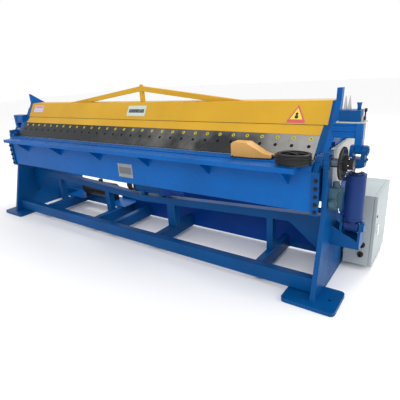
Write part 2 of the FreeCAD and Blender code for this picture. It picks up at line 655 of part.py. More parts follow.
def lift_arm():
    """Ribbed box arm out to the lift cylinder, with its square end bar and the tongue below it."""
    y0, y1, z0, z1 = LIFT_ARM
    arm = box(CHEEK[1], 1768, y0 + 6, y1, z0, z1)
    ribs = [rod_x(CHEEK[1], 1766, y0 + 8, z, 7) for z in (z0 + 7, z0 + 41, z1 - 7)]
    knee = prism_x([(y0 + 20, 904), (y1 + 60, 904), (y1, z0), (y0 + 6, z0)], CHEEK[1], CHEEK[1] + 13)
    post = rounded(box(1768, 1806, y0, y1, 914, z1), 4, V(0, 0, 1))
    tongue = prism_x([(y0 + 6, 914), (y1 - 6, 914), (CYL_Y + 22, 872), (CYL_Y, 858), (CYL_Y - 22, 872)],
                     CYL_X - 18, CYL_X + 18)
    band = [(128, 930), BLADE_TOP, CREASE, (262, 1097), (318, 1082), (262, 942), (250, 930)]
    pad = prism_x(band, CHEEK[1], CHEEK[1] + 13)
    hole = rod_x(1700, 1900, CYL_Y, LIFT_PIN_Z, 17.0)
    return fuse([arm, pad, knee, post, tongue] + ribs).cut(hole)


TANK = (1672.0, 1787.0, 158.0, 234.0, 1042.0, 1104.0)


def tank_shelf():
    """Pale shelf on the right-hand lift arm for the oil tank, its thin line, and two cones on the tank."""
    x0, x1, y0, y1, z0, z1 = TANK
    shelf = box(x0 - 10, x1 + 24, y0 - 6, y1 + 6, LIFT_ARM[3], z0)
    body = box(x1 + 1, x1 + 11, y0 + 18, y0 + 46, z0, z0 + 26)
    stem = rod_x(x1 + 11, x1 + 13, y0 + 32, z0 + 14, 6)
    line = rod_z(LIFT_PIN_Z + 44, LIFT_ARM[3], x1 + 22.5, y0 + 10, 3)
    clip = box(CYL_X + 19, x1 + 24, y0 + 4, y0 + 16, 940, 948)
    cones = [Part.makeCone(11, 2.5, 74, V(x, y0 + 40, z1), V(0, 0, 1)) for x in (x0 + 24, x0 + 46)]
    return group([fuse([shelf, body, stem, line, clip])] + cones)


def oil_tank():
    """Oil tank with its strap and filler neck."""
    x0, x1, y0, y1, z0, z1 = TANK
    tank = soft_box(x0, x1, y0, y1, z0, z1, 5)
    strap = box(x0 + 46, x0 + 58, y0 - 2, y0 + 4, z0 + 6, z1 - 6)
    neck = rod_z(z1 - 4, z1 + 24, x1 - 18, y0 + 40, 10)
    return fuse([tank, strap, neck]).cut(rod_z(z1, z1 + 30, x1 - 18, y0 + 40, 7.5))


def filler_cap():
    x, y, z = TANK[1] - 18, TANK[2] + 40, TANK[5] + 24
    wings = box(x - 14, x + 14, y - 3, y + 3, z + 9, z + 14)
    return fuse([rod_z(z, z + 9, x, y, 12), rod_z(z - 14, z, x, y, 7.2), wings])


def valve_lever():
    x, y, z = TANK[1] + 13.5, TANK[2] + 32, TANK[4] + 14
    hub = rod_x(x, x + 8, y, z, 10)
    arm = prism_x([(y - 7, z), (y + 7, z), (y + 6, z + 40), (y - 6, z + 40)], x + 1, x + 7)
    grip = soft_box(x - 2, x + 12, y - 10, y + 10, z + 36, z + 56, 4)
    return fuse([hub, arm, grip])


TRUSS_Y, TRUSS_FOOT, TRUSS_APEX = 345.0, 985.0, 1272.0


def truss():
    """Crowning truss on the beam: two sloping bars, a centre post and the tension screw on the apex."""
    base, tall = PANEL_TOP[1], 40.0
    bar = prism_y([(TRUSS_FOOT, base), (0, TRUSS_APEX), (0, TRUSS_APEX - tall), (TRUSS_FOOT - 300, base)],
                  TRUSS_Y - 16, TRUSS_Y + 16)
    post = box(-17, 17, TRUSS_Y - 14, TRUSS_Y + 14, base, TRUSS_APEX - 20)
    turns = [math.radians(60 * i) for i in range(6)]
    corners = [(19 * math.cos(a), TRUSS_Y + 19 * math.sin(a)) for a in turns]
    nut = prism_z(corners, TRUSS_APEX - 8, TRUSS_APEX + 8)
    return fuse([bar, mirrored(bar), post, nut, rod_z(TRUSS_APEX, TRUSS_APEX + 14, 0, TRUSS_Y, 10)])


# ---- foot switch, parked on the folding beam ----------------------------------------------------
SW_X0, SW_X1 = 1086.0, 1346.0
SW_FRONT, SW_REAR = -41.0, 34.0
SW_Z = FOLD_Z + 0.5


def switch_guard():
    """Hooded guard lying along the beam: a high heel, a sloping toe and an open side for the pedal."""
    z0 = SW_Z + 8
    profile = [(SW_X0, z0), (SW_X0, SW_Z + 84), (SW_X0 + 12, SW_Z + 96), (SW_X0 + 108, SW_Z + 96),
               (SW_X0 + 122, SW_Z + 88), (SW_X1 - 46, SW_Z + 36), (SW_X1 - 8, SW_Z + 28),
               (SW_X1, SW_Z + 20), (SW_X1, z0)]
    outer = prism_y(profile, SW_FRONT, SW_REAR)
    hollow = [(SW_X0 + 6, z0 - 1), (SW_X0 + 6, SW_Z + 80), (SW_X0 + 16, SW_Z + 90), (SW_X0 + 106, SW_Z + 90),
              (SW_X0 + 118, SW_Z + 82), (SW_X1 - 50, SW_Z + 30), (SW_X1 - 12, SW_Z + 22), (SW_X1 - 6, z0 - 1)]
    inner = prism_y(hollow, SW_FRONT + 6, SW_REAR + 1)
    taper = prism_z([(SW_X0 + 128, SW_FRONT - 1), (SW_X1 + 1, SW_FRONT - 1),
                     (SW_X1 + 1, SW_FRONT + 20)], 800, 960)
    wall = prism_z([(SW_X0 + 128, SW_FRONT), (SW_X1, SW_FRONT + 20), (SW_X1, SW_FRONT + 26),
                    (SW_X0 + 128, SW_FRONT + 6)], z0, 960)
    sloped = wall.common(outer)
    outlet = box(SW_X1 - 40, SW_X1 + 1, -6.5, 16.5, SW_Z, SW_Z + 23)
    return fuse([outer.cut(inner), sloped]).cut(taper).cut(outlet)


PEDAL_HINGE = (SW_X0 + 30, SW_Z + 30)
CABLE_Z = SW_Z + 14


def switch_base():
    """Sole plate, contact block under the guard's heel with the pedal's pin, and the cable outlet."""
    plan = [(SW_X0 - 4, SW_FRONT - 2), (SW_X0 + 128, SW_FRONT - 2), (SW_X1, SW_FRONT + 18),
            (SW_X1, SW_REAR + 2), (SW_X0 - 4, SW_REAR + 2)]
    sole = prism_z(plan, SW_Z, SW_Z + 8)
    block = box(SW_X0 + 10, SW_X0 + 60, SW_FRONT + 10, SW_REAR - 12, SW_Z + 7, SW_Z + 20)
    cheeks = [box(PEDAL_HINGE[0] - 9, PEDAL_HINGE[0] + 9, y, y + 5, SW_Z + 20, SW_Z + 40) for y in (-31.0, 17.0)]
    pin = rod_y(-31, 22, PEDAL_HINGE[0], PEDAL_HINGE[1], 4)
    outlet = box(SW_X1 - 30, SW_X1, -6, 16, SW_Z + 7, SW_Z + 22)
    return fuse([sole, block, pin, outlet] + cheeks)


def foot_pedal():
    hinge = rod_y(-25.5, 16.5, PEDAL_HINGE[0], PEDAL_HINGE[1], 8)
    plate = prism_y([(PEDAL_HINGE[0], SW_Z + 33), (SW_X0 + 150, SW_Z + 42), (SW_X0 + 150, SW_Z + 47),
                     (PEDAL_HINGE[0], SW_Z + 38)], -22.0, 14.0)
    treads = [box(SW_X0 + 70 + 18 * i, SW_X0 + 76 + 18 * i, -20, 12, SW_Z + 40, SW_Z + 50) for i in range(4)]
    return fuse([hinge, plate] + treads).cut(rod_y(-40, 40, PEDAL_HINGE[0], PEDAL_HINGE[1], 4.05))


def strain_relief():
    return Part.makeCone(9, 5.6, 26, V(SW_X1, 5, CABLE_Z), V(1, 0, 0))


COIL_X, COIL_Y = 1500.0, -62.0
COIL_HALF = (112.0, 84.0)    # outer half length and half width
COIL_BAND = (44.0, 40.0)     # width of the wound band, along and across
COIL_Z = (836.0, 898.0)


def oval(half_x, half_y, z0, z1):
    ellipse = Part.Ellipse(V(COIL_X, COIL_Y, z0), half_x, half_y)
    return Part.Face(Part.Wire([ellipse.toShape()])).extrude(V(0, 0, z1 - z0))


def cable_coil():
    z0, z1 = COIL_Z
    outer = oval(COIL_HALF[0], COIL_HALF[1], z0, z1)
    return outer.cut(oval(COIL_HALF[0] - COIL_BAND[0], COIL_HALF[1] - COIL_BAND[1], z0 - 1, z1 + 1))


def tube_along(points, r, name):
    """Round tube along straight runs joined by tangent arcs, each as large as its runs allow."""
    pts = [V(*p) for p in points]
    edges = []
    radii = []
    start = pts[0]
    for before, corner, after in zip(pts, pts[1:], pts[2:]):
        a = before - corner
        b = after - corner
        run = min(a.Length, b.Length)
        a.normalize()
        b.normalize()
        turn = math.pi - a.getAngle(b)
        trim = 0.45 * run
        radii.append(trim / math.tan(turn / 2))
        first = corner + a * trim
        last = corner + b * trim
        to_centre = (a + b).normalize()
        middle = corner + to_centre * (radii[-1] / math.cos(turn / 2) - radii[-1])
        edges.append(Part.LineSegment(start, first).toShape())
        edges.append(Part.Arc(first, middle, last).toShape())
        start = last
    edges.append(Part.LineSegment(start, pts[-1]).toShape())
    path = Part.Wire(edges)
    section = Part.Wire([Part.Circle(pts[0], pts[1] - pts[0], r).toShape()])
    tube = path.makePipeShell([section], True, False)
    expected = math.pi * r * r * path.Length
    print(name, "radii", [round(x, 1) for x in radii], "length", round(path.Length, 1),
          "volume ratio", round(tube.Volume / expected, 4))
    return tube


# From the strain relief to the coil, and from the coil to the plug.
LEAD = [(SW_X1 + 26, 5, CABLE_Z), (1394, 5, CABLE_Z), (1417, 2, CABLE_Z + 2.5), (1440, -6, CABLE_Z + 7)]
TAIL = [(1512, -84, 842), (1528, -84, 842), (1544.7, -78.9, 844), (1558.9, -68.6, 848), (1568.9, -54.3, 853)]


def cable_plug():
    """Round connector with a grip ring, lying inside the coil."""
    x, y, z = TAIL[0]
    body = rod_x(x - 50, x - 12, y, z, 12)
    grip = rod_x(x - 36, x - 26, y, z, 12.8)
    boot = Part.makeCone(10, 6, 12, V(x - 12, y, z), V(1, 0, 0))
    return fuse([body, grip, boot])


# ---- assembly -----------------------------------------------------------------------------------
def build():
    plate = side_plate()
    place("right_side_plate", plate)
    place("left_side_plate", mirrored(plate))
    place("floor_plates", floor_plates())
    place("long_rails", long_rails())
    place("cross_rails", cross_rails())
    place("posts", posts())
    place("lower_chord", lower_chord())
    place("back_panel", back_panel())
    place("bed_beam", bed_beam())
    place("bed_table", bed_table())
    place("bearings", bearings())
    place("window_guards", both_ends(window_guard()))
    place("cylinder_brackets", both_ends(cylinder_bracket()))
    place("valve_block", valve_block())
    place("motor_body", motor_body())
    place("motor_cowl", motor_cowl())
    place("pump", pump())
    place("trays", trays())
    place("oil_drum", oil_drum())
    place("cabinet_box", cabinet_box())
    place("cabinet_door", cabinet_door())
    place("door_handle", door_handle())
    place("cabinet_glands", cabinet_glands())

    barrel = cylinder_barrel()
    place("right_barrel", barrel)
    place("left_barrel", mirrored(barrel))
    rod = lift_rod()
    place("right_lift_rod", rod)
    place("left_lift_rod", mirrored(rod))
    fork = rod_fork()
    place("right_fork", fork)
    place("left_fork", mirrored(fork))

    place("fold_ledge", fold_ledge())
    place("bending_strip", bending_strip())
    place("fold_panel", fold_panel())
    place("fold_web", fold_web())
    place("ledge_gussets", ledge_gussets())
    place("fold_arms", both_ends(fold_arm()))
    place("arm_bolts", arm_bolts())
    place("fold_shafts", group([fold_shaft(1784), mirrored(fold_shaft(SIDE_OUTER + 18))]))
    place("dial_disc", dial_disc())

    place("clamp_blade", clamp_blade())
    place("blade_screws", blade_screws())
    place("face_strip", face_strip())
    place("upper_panel", upper_panel())
    place("clamp_spine", clamp_spine())
    place("end_flanges", both_ends(end_flange()))
    place("cheeks", group([mirrored(cheek(LEFT_EAR)), cheek(RIGHT_EAR)]))
    place("clamp_pivots", both_ends(clamp_pivot()))
    place("lift_arms", both_ends(lift_arm()))
    place("truss", truss())
    place("tank_shelf", tank_shelf())
    place("oil_tank", oil_tank())
    place("filler_cap", filler_cap())
    place("valve_lever", valve_lever())

    place("switch_guard", switch_guard())
    place("switch_base", switch_base())
    place("foot_pedal", foot_pedal())
    place("strain_relief", strain_relief())
    place("cable_coil", cable_coil())
    place("cable_lead", tube_along(LEAD, CABLE_R, "cable_lead"))
    place("cable_tail", tube_along(TAIL, CABLE_R, "cable_tail"))
    place("cable_plug", cable_plug())


build()
os.makedirs("parts", exist_ok=True)
for name, shape in NODES.items():
    shape.exportStep("parts/%s.step" % name)
print(len(NODES), "nodes")
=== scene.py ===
"""Looks of the sheet metal brake: camera, cable, materials and small visible detail on the CAD frame."""
import json
import math

import bmesh
import bpy
from mathutils import Matrix, Vector


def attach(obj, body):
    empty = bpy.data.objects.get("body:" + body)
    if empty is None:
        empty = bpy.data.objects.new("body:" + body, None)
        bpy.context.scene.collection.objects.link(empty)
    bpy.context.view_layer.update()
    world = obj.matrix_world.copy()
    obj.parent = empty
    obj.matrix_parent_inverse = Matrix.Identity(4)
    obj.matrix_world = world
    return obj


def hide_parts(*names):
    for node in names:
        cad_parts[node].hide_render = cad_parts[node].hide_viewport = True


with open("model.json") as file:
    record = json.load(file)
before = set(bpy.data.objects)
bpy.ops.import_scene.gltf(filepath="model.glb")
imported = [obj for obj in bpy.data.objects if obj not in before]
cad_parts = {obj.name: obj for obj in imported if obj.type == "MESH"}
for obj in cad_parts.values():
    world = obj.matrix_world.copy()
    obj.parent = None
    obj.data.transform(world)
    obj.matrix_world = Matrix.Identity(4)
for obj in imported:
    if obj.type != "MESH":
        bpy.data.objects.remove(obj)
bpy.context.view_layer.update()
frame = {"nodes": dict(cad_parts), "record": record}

NODES = frame["nodes"]
DEPTH = 0.303            # CAD depths start at the side plates' front edge; the origin lies this far behind it


def at(x, y, z):
    """A point given in the CAD's millimetres, in metres from the origin."""
    return Vector((x / 1000, y / 1000 - DEPTH, z / 1000))


# ---- camera -------------------------------------------------------------------------------------
YAW, PITCH, ROLL = 0.638, 0.343, -0.067
STANDPOINT = (2230.6, -1943.8, 1352.3)
SENSOR, LENS = 36, 32.2


def make_camera():
    """Camera in front of the right-hand end, a little above the machine, tilted and rolled slightly."""
    flat = math.cos(PITCH)
    forward = Vector((-math.sin(YAW) * flat, math.cos(YAW) * flat, -math.sin(PITCH)))
    level = Vector((math.cos(YAW), math.sin(YAW), 0))
    upright = level.cross(forward)
    right = level * math.cos(ROLL) + upright * math.sin(ROLL)
    up = upright * math.cos(ROLL) - level * math.sin(ROLL)
    data = bpy.data.cameras.new("camera")
    data.sensor_width = SENSOR
    data.lens = LENS
    data.clip_end = 60
    camera = bpy.data.objects.new("camera", data)
    bpy.context.scene.collection.objects.link(camera)
    turn = Matrix((right, up, -forward)).transposed().to_4x4()
    camera.matrix_world = Matrix.Translation(at(*STANDPOINT)) @ turn
    bpy.context.scene.camera = camera


make_camera()


# ---- foot-switch cable --------------------------------------------------------------------------
CABLE, CABLE_LENGTH = 0.009, 7.1
LEAD = [(1372, 5, 849.5), (1394, 5, 849.5), (1417, 2, 852)]
TAIL = [(1454, -21, 890), (1474, -18.5, 887), (1494, -18, 882), (1512, -17.5, 876), (1529.5, -18.5, 869),
        (1544.5, -26.5, 862), (1553, -42, 856), (1553, -60, 850), (1544, -74, 845.5), (1531, -81.5, 842.5),
        (1521, -83.5, 842), (1512, -84, 842)]
COIL_CENTRE = (1500, -62, 840.8)
COIL_LAYERS, TURNS_A_LAYER, POINTS_A_TURN = 7, 2, 16
OUTER_TURN, INNER_TURN, LAYER_RISE = 78.0, 52.0, 8.6
START_ANGLE = 118.0
STRAIGHT_HALF = 26.0         # half the straight stretch that makes the coil longer than it is deep
LEAD_IN = 11.0               # how far above the ledge the first turn begins
RUFFLE = 1.2                 # unevenness of the turns


def coil_points():
    """Turns of a long round coil: each layer crosses the band, and the next one lies on top of it."""
    points = []
    for i in range(COIL_LAYERS * TURNS_A_LAYER * POINTS_A_TURN):
        turn = i / POINTS_A_TURN
        layer = turn / TURNS_A_LAYER
        sweep = layer % 2.0
        inward = 1 - abs(1 - sweep)
        nearest = round(layer)
        level = nearest - 0.5 + 0.5 * math.tanh(9 * (layer - nearest))
        level = min(COIL_LAYERS - 1, max(0, level))
        angle = math.radians(START_ANGLE) - math.tau * turn
        ruffle = RUFFLE * math.sin(2.3 * turn + 1.0) * math.sin(angle + turn)
        half = OUTER_TURN - (OUTER_TURN - INNER_TURN) * inward + ruffle
        waviness = RUFFLE * math.sin(1.7 * angle) * min(1, level)
        height = LAYER_RISE * level + LEAD_IN * math.exp(-9 * turn) + waviness
        straight = STRAIGHT_HALF * math.sin(math.pi / 2 * math.cos(angle))
        x = COIL_CENTRE[0] + straight + half * math.cos(angle)
        y = COIL_CENTRE[1] + half * math.sin(angle)
        points.append((x, y, COIL_CENTRE[2] + height))
    return points


def spline_object(name, points, radius):
    """Smooth round line along the points; each point carries the line's radius, so the bevel is 1."""
    data = bpy.data.curves.new(name, "CURVE")
    data.dimensions = "3D"
    data.bevel_depth = 1.0
    data.bevel_resolution = 4
    data.resolution_u = 6
    data.use_fill_caps = True
    line = data.splines.new("NURBS")
    line.points.add(len(points) - 1)
    for knot, point in zip(line.points, points):
        knot.co = (*at(*point), 1)
        knot.radius = radius
    line.order_u = 3
    line.use_endpoint_u = True
    made = bpy.data.objects.new(name, data)
    bpy.context.scene.collection.objects.link(made)
    return made


def make_cable():
    """The foot switch's cable: lead, coil and tail in one line."""
    route = LEAD + coil_points() + TAIL
    cable = spline_object("foot_switch_cable", route, CABLE / 2)
    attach(cable, "foot_switch")
    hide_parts("cable_lead", "cable_coil", "cable_tail")
    return cable


cable = make_cable()


# ---- shader helpers -----------------------------------------------------------------------------
class Shader:
    """A material under construction: short calls that add and link nodes."""

    def __init__(self, name):
        self.material = bpy.data.materials.new(name)
        self.material.use_nodes = True
        self.tree = self.material.node_tree
        self.bsdf = self.tree.nodes["Principled BSDF"]
        self.place = self.node("ShaderNodeTexCoord").outputs["Object"]

    def node(self, kind, **settings):
        made = self.tree.nodes.new(kind)
        for key, value in settings.items():
            setattr(made, key, value)
        return made

    def link(self, source, target):
        self.tree.links.new(source, target)

    def stretched(self, scale):
        mapping = self.node("ShaderNodeMapping")
        mapping.inputs["Scale"].default_value = scale
        self.link(self.place, mapping.inputs["Vector"])
        return mapping.outputs["Vector"]

    def noise(self, scale, detail=4.0, rough=0.55, where=None):
        made = self.node("ShaderNodeTexNoise")
        made.inputs["Scale"].default_value = scale
        made.inputs["Detail"].default_value = detail
        made.inputs["Roughness"].default_value = rough
        self.link(where or self.place, made.inputs["Vector"])
        return made.outputs["Fac"]

    def ramp(self, value, low, high, a=0.0, b=1.0):
        made = self.node("ShaderNodeMapRange")
        made.inputs["From Min"].default_value = low
        made.inputs["From Max"].default_value = high
        made.inputs["To Min"].default_value = a
        made.inputs["To Max"].default_value = b
        self.link(value, made.inputs["Value"])
        return made.outputs["Result"]

    def mix(self, factor, a, b):
        made = self.node("ShaderNodeMix", data_type="RGBA")
        self.link(factor, made.inputs["Factor"])
        for socket, value in (("A", a), ("B", b)):
            target = [i for i in made.inputs if i.name == socket and i.type == "RGBA"][0]
            if isinstance(value, tuple):
                target.default_value = value + (1.0,)
            else:
                self.link(value, target)
        return [o for o in made.outputs if o.type == "RGBA"][0]

    def math(self, operation, a, b):
        made = self.node("ShaderNodeMath", operation=operation)
        for socket, value in zip(made.inputs, (a, b)):
            if isinstance(value, (int, float)):
                socket.default_value = value
            else:
                self.link(value, socket)
        return made.outputs[0]

    def soft_edges(self, radius):
        made = self.node("ShaderNodeBevel", samples=4)
        made.inputs["Radius"].default_value = radius
        return made.outputs["Normal"]

    def bump(self, height, distance, strength, normal):
        made = self.node("ShaderNodeBump")
        made.inputs["Distance"].default_value = distance
        made.inputs["Strength"].default_value = strength
        self.link(height, made.inputs["Height"])
        self.link(normal, made.inputs["Normal"])
        return made.outputs["Normal"]

    def edge_mask(self, radius):
        """1 on sharp edges, 0 on flats: how far the rounded normal leans from the true one."""
        geometry = self.node("ShaderNodeNewGeometry")
        made = self.node("ShaderNodeVectorMath", operation="DOT_PRODUCT")
        self.link(self.soft_edges(radius), made.inputs[0])
        self.link(geometry.outputs["Normal"], made.inputs[1])
        lean = self.math("SUBTRACT", 1.0, made.outputs["Value"])
        return self.ramp(lean, 0.02, 0.25)


PAINT_EDGE, PAINT_DUST, PAINT_GLOSS = 0.0022, 0.015, 0.12
METAL_EDGE, PLASTIC_EDGE = 0.0012, 0.002


def paint(name, color, dark, rough=0.34, worn=(0.30, 0.42, 0.62), wear=0.35, peel=0.00012):
    """Sprayed machine paint: uneven tone, orange peel, dust in patches, and worn edges."""
    s = Shader(name)
    cloud = s.ramp(s.noise(2.2, 5.0), 0.35, 0.7)
    tone = s.mix(cloud, color, dark)
    smudge = s.ramp(s.noise(9.0, 6.0, 0.65), 0.55, 0.75)
    dusty = s.mix(s.math("MULTIPLY", smudge, PAINT_DUST), tone, (0.45, 0.47, 0.5))
    chips = s.ramp(s.noise(60.0, 3.0), 0.48, 0.62)
    edges = s.math("MULTIPLY", s.math("MULTIPLY", s.edge_mask(PAINT_EDGE), chips), wear)
    s.link(s.mix(edges, dusty, worn), s.bsdf.inputs["Base Color"])
    s.link(s.math("ADD", s.ramp(s.noise(5.0, 6.0), 0.3, 0.75, rough - 0.06, rough + 0.12),
                  s.math("MULTIPLY", smudge, 0.10)), s.bsdf.inputs["Roughness"])
    fine = s.bump(s.noise(420.0, 2.0), peel, 0.6, s.soft_edges(PAINT_EDGE))
    s.link(fine, s.bsdf.inputs["Normal"])
    s.bsdf.inputs["Specular IOR Level"].default_value = PAINT_GLOSS
    return s.material


def metal(name, color, dark, rough, grain=(1.0, 220.0, 220.0), depth=0.00004):
    """Machined metal: grain drawn out along one axis, stains and bright edges."""
    s = Shader(name)
    lines = s.noise(6.0, 4.0, 0.7, s.stretched(grain))
    stain = s.ramp(s.noise(4.0, 6.0, 0.6), 0.4, 0.75)
    tone = s.mix(s.math("MULTIPLY", stain, 0.6), color, dark)
    bright = tuple(min(1.0, c * 1.35 + 0.05) for c in color)
    edges = s.math("MULTIPLY", s.edge_mask(METAL_EDGE), 0.6)
    s.link(s.mix(edges, tone, bright), s.bsdf.inputs["Base Color"])
    s.bsdf.inputs["Metallic"].default_value = 1.0
    grained = s.ramp(lines, 0.3, 0.7, rough - 0.05, rough + 0.08)
    s.link(s.math("ADD", grained, s.math("MULTIPLY", stain, 0.08)), s.bsdf.inputs["Roughness"])
    s.link(s.bump(lines, depth, 0.5, s.soft_edges(METAL_EDGE)), s.bsdf.inputs["Normal"])
    return s.material


def plastic(name, color, dark, rough, pebble=500.0, depth=0.0001):
    """Moulded plastic or rubber: pebbled skin, scuffs and paler rubbed edges."""
    s = Shader(name)
    scuff = s.ramp(s.noise(14.0, 6.0, 0.7), 0.5, 0.78)
    tone = s.mix(s.ramp(s.noise(3.0, 3.0), 0.35, 0.7), color, dark)
    pale = tuple(min(1.0, c * 1.5 + 0.04) for c in color)
    rubbed = s.mix(s.math("MULTIPLY", s.edge_mask(PLASTIC_EDGE), 0.5), tone, pale)
    s.link(s.mix(s.math("MULTIPLY", scuff, 0.18), rubbed, pale), s.bsdf.inputs["Base Color"])
    s.link(s.ramp(scuff, 0.0, 1.0, rough, min(1.0, rough + 0.2)), s.bsdf.inputs["Roughness"])
    s.link(s.bump(s.noise(pebble, 3.0), depth, 0.5, s.soft_edges(PLASTIC_EDGE)), s.bsdf.inputs["Normal"])
    s.bsdf.inputs["Specular IOR Level"].default_value = 0.3
    return s.material


FRAME_BLUE = paint("frame_blue", (0.0005, 0.068, 0.235), (0.0005, 0.050, 0.175))
BEAM_BLUE = paint("beam_blue", (0.0005, 0.099, 0.367), (0.0005, 0.076, 0.29), rough=0.28)
DEEP_BLUE = paint("deep_blue", (0.0003, 0.046, 0.27), (0.0003, 0.036, 0.21), rough=0.36)
NAVY = paint("navy", (0.010, 0.035, 0.15), (0.007, 0.025, 0.11), rough=0.36, wear=0.2)
AMBER = paint("amber", (0.60, 0.345, 0.028), (0.52, 0.29, 0.022), rough=0.42, worn=(0.75, 0.6, 0.3),
              peel=0.00008)
CABINET_GREY = paint("cabinet_grey", (0.37, 0.41, 0.42), (0.33, 0.37, 0.38), rough=0.45, worn=(0.8, 0.8, 0.8),
                     wear=0.4, peel=0.0003)
PALE_SHEET = paint("pale_sheet", (0.46, 0.46, 0.44), (0.36, 0.36, 0.34), rough=0.4, wear=0.2)
BLACK_PAINT = paint("black_paint", (0.012, 0.012, 0.014), (0.02, 0.018, 0.018), rough=0.26,
                    worn=(0.3, 0.28, 0.25))
GROUND_STEEL = metal("ground_steel", (0.46, 0.46, 0.47), (0.36, 0.35, 0.34), 0.36)
SHAFT_STEEL = metal("shaft_steel", (0.10, 0.12, 0.15), (0.05, 0.06, 0.08), 0.35, grain=(220.0, 1.0, 1.0))
BLACK_SCREW = metal("black_screw", (0.03, 0.03, 0.035), (0.012, 0.012, 0.012), 0.35)
CHROME = metal("chrome", (0.82, 0.82, 0.84), (0.7, 0.7, 0.72), 0.08, grain=(200.0, 200.0, 1.0),
               depth=0.000005)
CAST_TEAL = paint("cast_teal", (0.05, 0.10, 0.13), (0.03, 0.06, 0.09), rough=0.5, peel=0.0006, wear=0.3)
ORANGE = plastic("orange", (0.56, 0.31, 0.09), (0.48, 0.25, 0.065), 0.38)
RUBBER = plastic("rubber", (0.010, 0.010, 0.011), (0.018, 0.018, 0.018), 0.5, pebble=900.0)
# Black plastic; the same material is the painted shade of the cabinet's vent slots.
BLACK_PLASTIC_AND_SLOT_SHADE = plastic("black_plastic", (0.012, 0.012, 0.013), (0.020, 0.020, 0.020), 0.42)


def blade_steel():
    """Ground face of the blade: painted reflection, dark towards the left end and bright towards the right,
    with scattered dark spots.
    """
    s = Shader("blade_steel")
    along = s.node("ShaderNodeSeparateXYZ")
    s.link(s.place, along.inputs["Vector"])
    # Painted reflection and sheen: the tone runs in patches from dark at the left end to bright at the right,
    # standing in for the surroundings mirrored in the steel.
    patches = s.noise(2.6, 5.0, 0.6)
    right_end_reflection = s.ramp(s.math("ADD", along.outputs["X"], patches), 1.45, 2.0)
    painted_sheen = s.math("MULTIPLY", s.ramp(along.outputs["X"], -0.5, 0.55), s.ramp(patches, 0.42, 0.70))
    bright = s.math("MAXIMUM", right_end_reflection, s.math("MULTIPLY", painted_sheen, 0.6))
    lines = s.noise(5.0, 4.0, 0.7, s.stretched((1.0, 160.0, 160.0)))
    tone = s.mix(bright, (0.030, 0.032, 0.034), (0.34, 0.335, 0.315))
    spots = s.math("MULTIPLY", s.ramp(s.noise(26.0, 5.0, 0.7), 0.56, 0.72), 0.25)
    s.link(s.mix(spots, tone, (0.10, 0.10, 0.10)), s.bsdf.inputs["Base Color"])
    s.bsdf.inputs["Metallic"].default_value = 0.75
    s.link(s.ramp(lines, 0.3, 0.7, 0.40, 0.55), s.bsdf.inputs["Roughness"])
    s.link(s.bump(lines, 0.00004, 0.5, s.soft_edges(0.001)), s.bsdf.inputs["Normal"])
    return s.material


def sign_face(name, ground, band, band_from, band_to):
    """Printed plate: plain ground with one blank band across it, faded and scuffed, no lettering."""
    s = Shader(name)
    local = s.node("ShaderNodeSeparateXYZ")
    s.link(s.node("ShaderNodeTexCoord").outputs["UV"], local.inputs["Vector"])
    up = local.outputs["Y"]
    inside = s.math("MULTIPLY", s.math("GREATER_THAN", up, band_from), s.math("LESS_THAN", up, band_to))
    across = local.outputs["X"]
    margin = s.math("MULTIPLY", s.math("GREATER_THAN", across, 0.08), s.math("LESS_THAN", across, 0.92))
    print_area = s.math("MULTIPLY", inside, margin)
    tone = s.mix(print_area, ground, band)
    faded = s.math("MULTIPLY", s.ramp(s.noise(70.0, 4.0, 0.7), 0.45, 0.7), 0.35)
    s.link(s.mix(faded, tone, tuple(c * 0.8 + 0.08 for c in ground)), s.bsdf.inputs["Base Color"])
    s.link(s.ramp(s.noise(30.0, 4.0), 0.3, 0.7, 0.3, 0.5), s.bsdf.inputs["Roughness"])
    return s.material


BLADE_STEEL = blade_steel()
YELLOW_PLUG = plastic("yellow_plug", (0.50, 0.42, 0.03), (0.36, 0.30, 0.02), 0.4)
FOIL = {"pebble": 200.0, "depth": 0.00002}
SIGN_YELLOW = plastic("sign_yellow", (0.75, 0.62, 0.06), (0.68, 0.55, 0.05), 0.35, **FOIL)
SIGN_ROSE = plastic("sign_rose", (0.62, 0.10, 0.14), (0.52, 0.08, 0.12), 0.35, **FOIL)
# Dark foil for the printed mark; the same material is the painted shadow in the crease.
DARK_PRINT_AND_SHADE = plastic("dark_print_and_shade", (0.02, 0.02, 0.02), (0.03, 0.03, 0.03), 0.4, **FOIL)
BOARD_PALE = sign_face("board_pale", (0.50, 0.55, 0.50), (0.02, 0.035, 0.05), 0.32, 0.66)
BOARD_LILAC = sign_face("board_lilac", (0.50, 0.46, 0.62), (0.62, 0.16, 0.26), 0.62, 0.90)
BOARD_GREY = sign_face("board_grey", (0.20, 0.23, 0.24), (0.09, 0.10, 0.11), 0.25, 0.75)

FINISHES = {
    "frame_blue": FRAME_BLUE, "beam_blue": BEAM_BLUE, "deep_blue": DEEP_BLUE, "navy": NAVY,
    "amber": AMBER, "cabinet_grey": CABINET_GREY, "pale_sheet": PALE_SHEET, "black_paint": BLACK_PAINT,
    "teal_block": CAST_TEAL, "ground_steel": GROUND_STEEL, "black_screw": BLACK_SCREW, "chrome": CHROME,
    "orange": ORANGE, "rubber": RUBBER, "black_plastic": BLACK_PLASTIC_AND_SLOT_SHADE,
}
SPECIAL = {"fold_shafts": SHAFT_STEEL, "clamp_blade": BLADE_STEEL}


def finish_nodes():
    """Gives each CAD node the material of its slot."""
    for part in frame["record"]["subparts"]:
        finish = SPECIAL.get(part["node"], FINISHES[part["material_slot"]])
        for slot in NODES[part["node"]].material_slots:
            slot.material = finish


finish_nodes()
cable.data.materials.append(RUBBER)


# ---- detail pieces ------------------------------------------------------------------------------
def add_object(name, data):
    made = bpy.data.objects.new(name, data)
    bpy.context.scene.collection.objects.link(made)
    return made


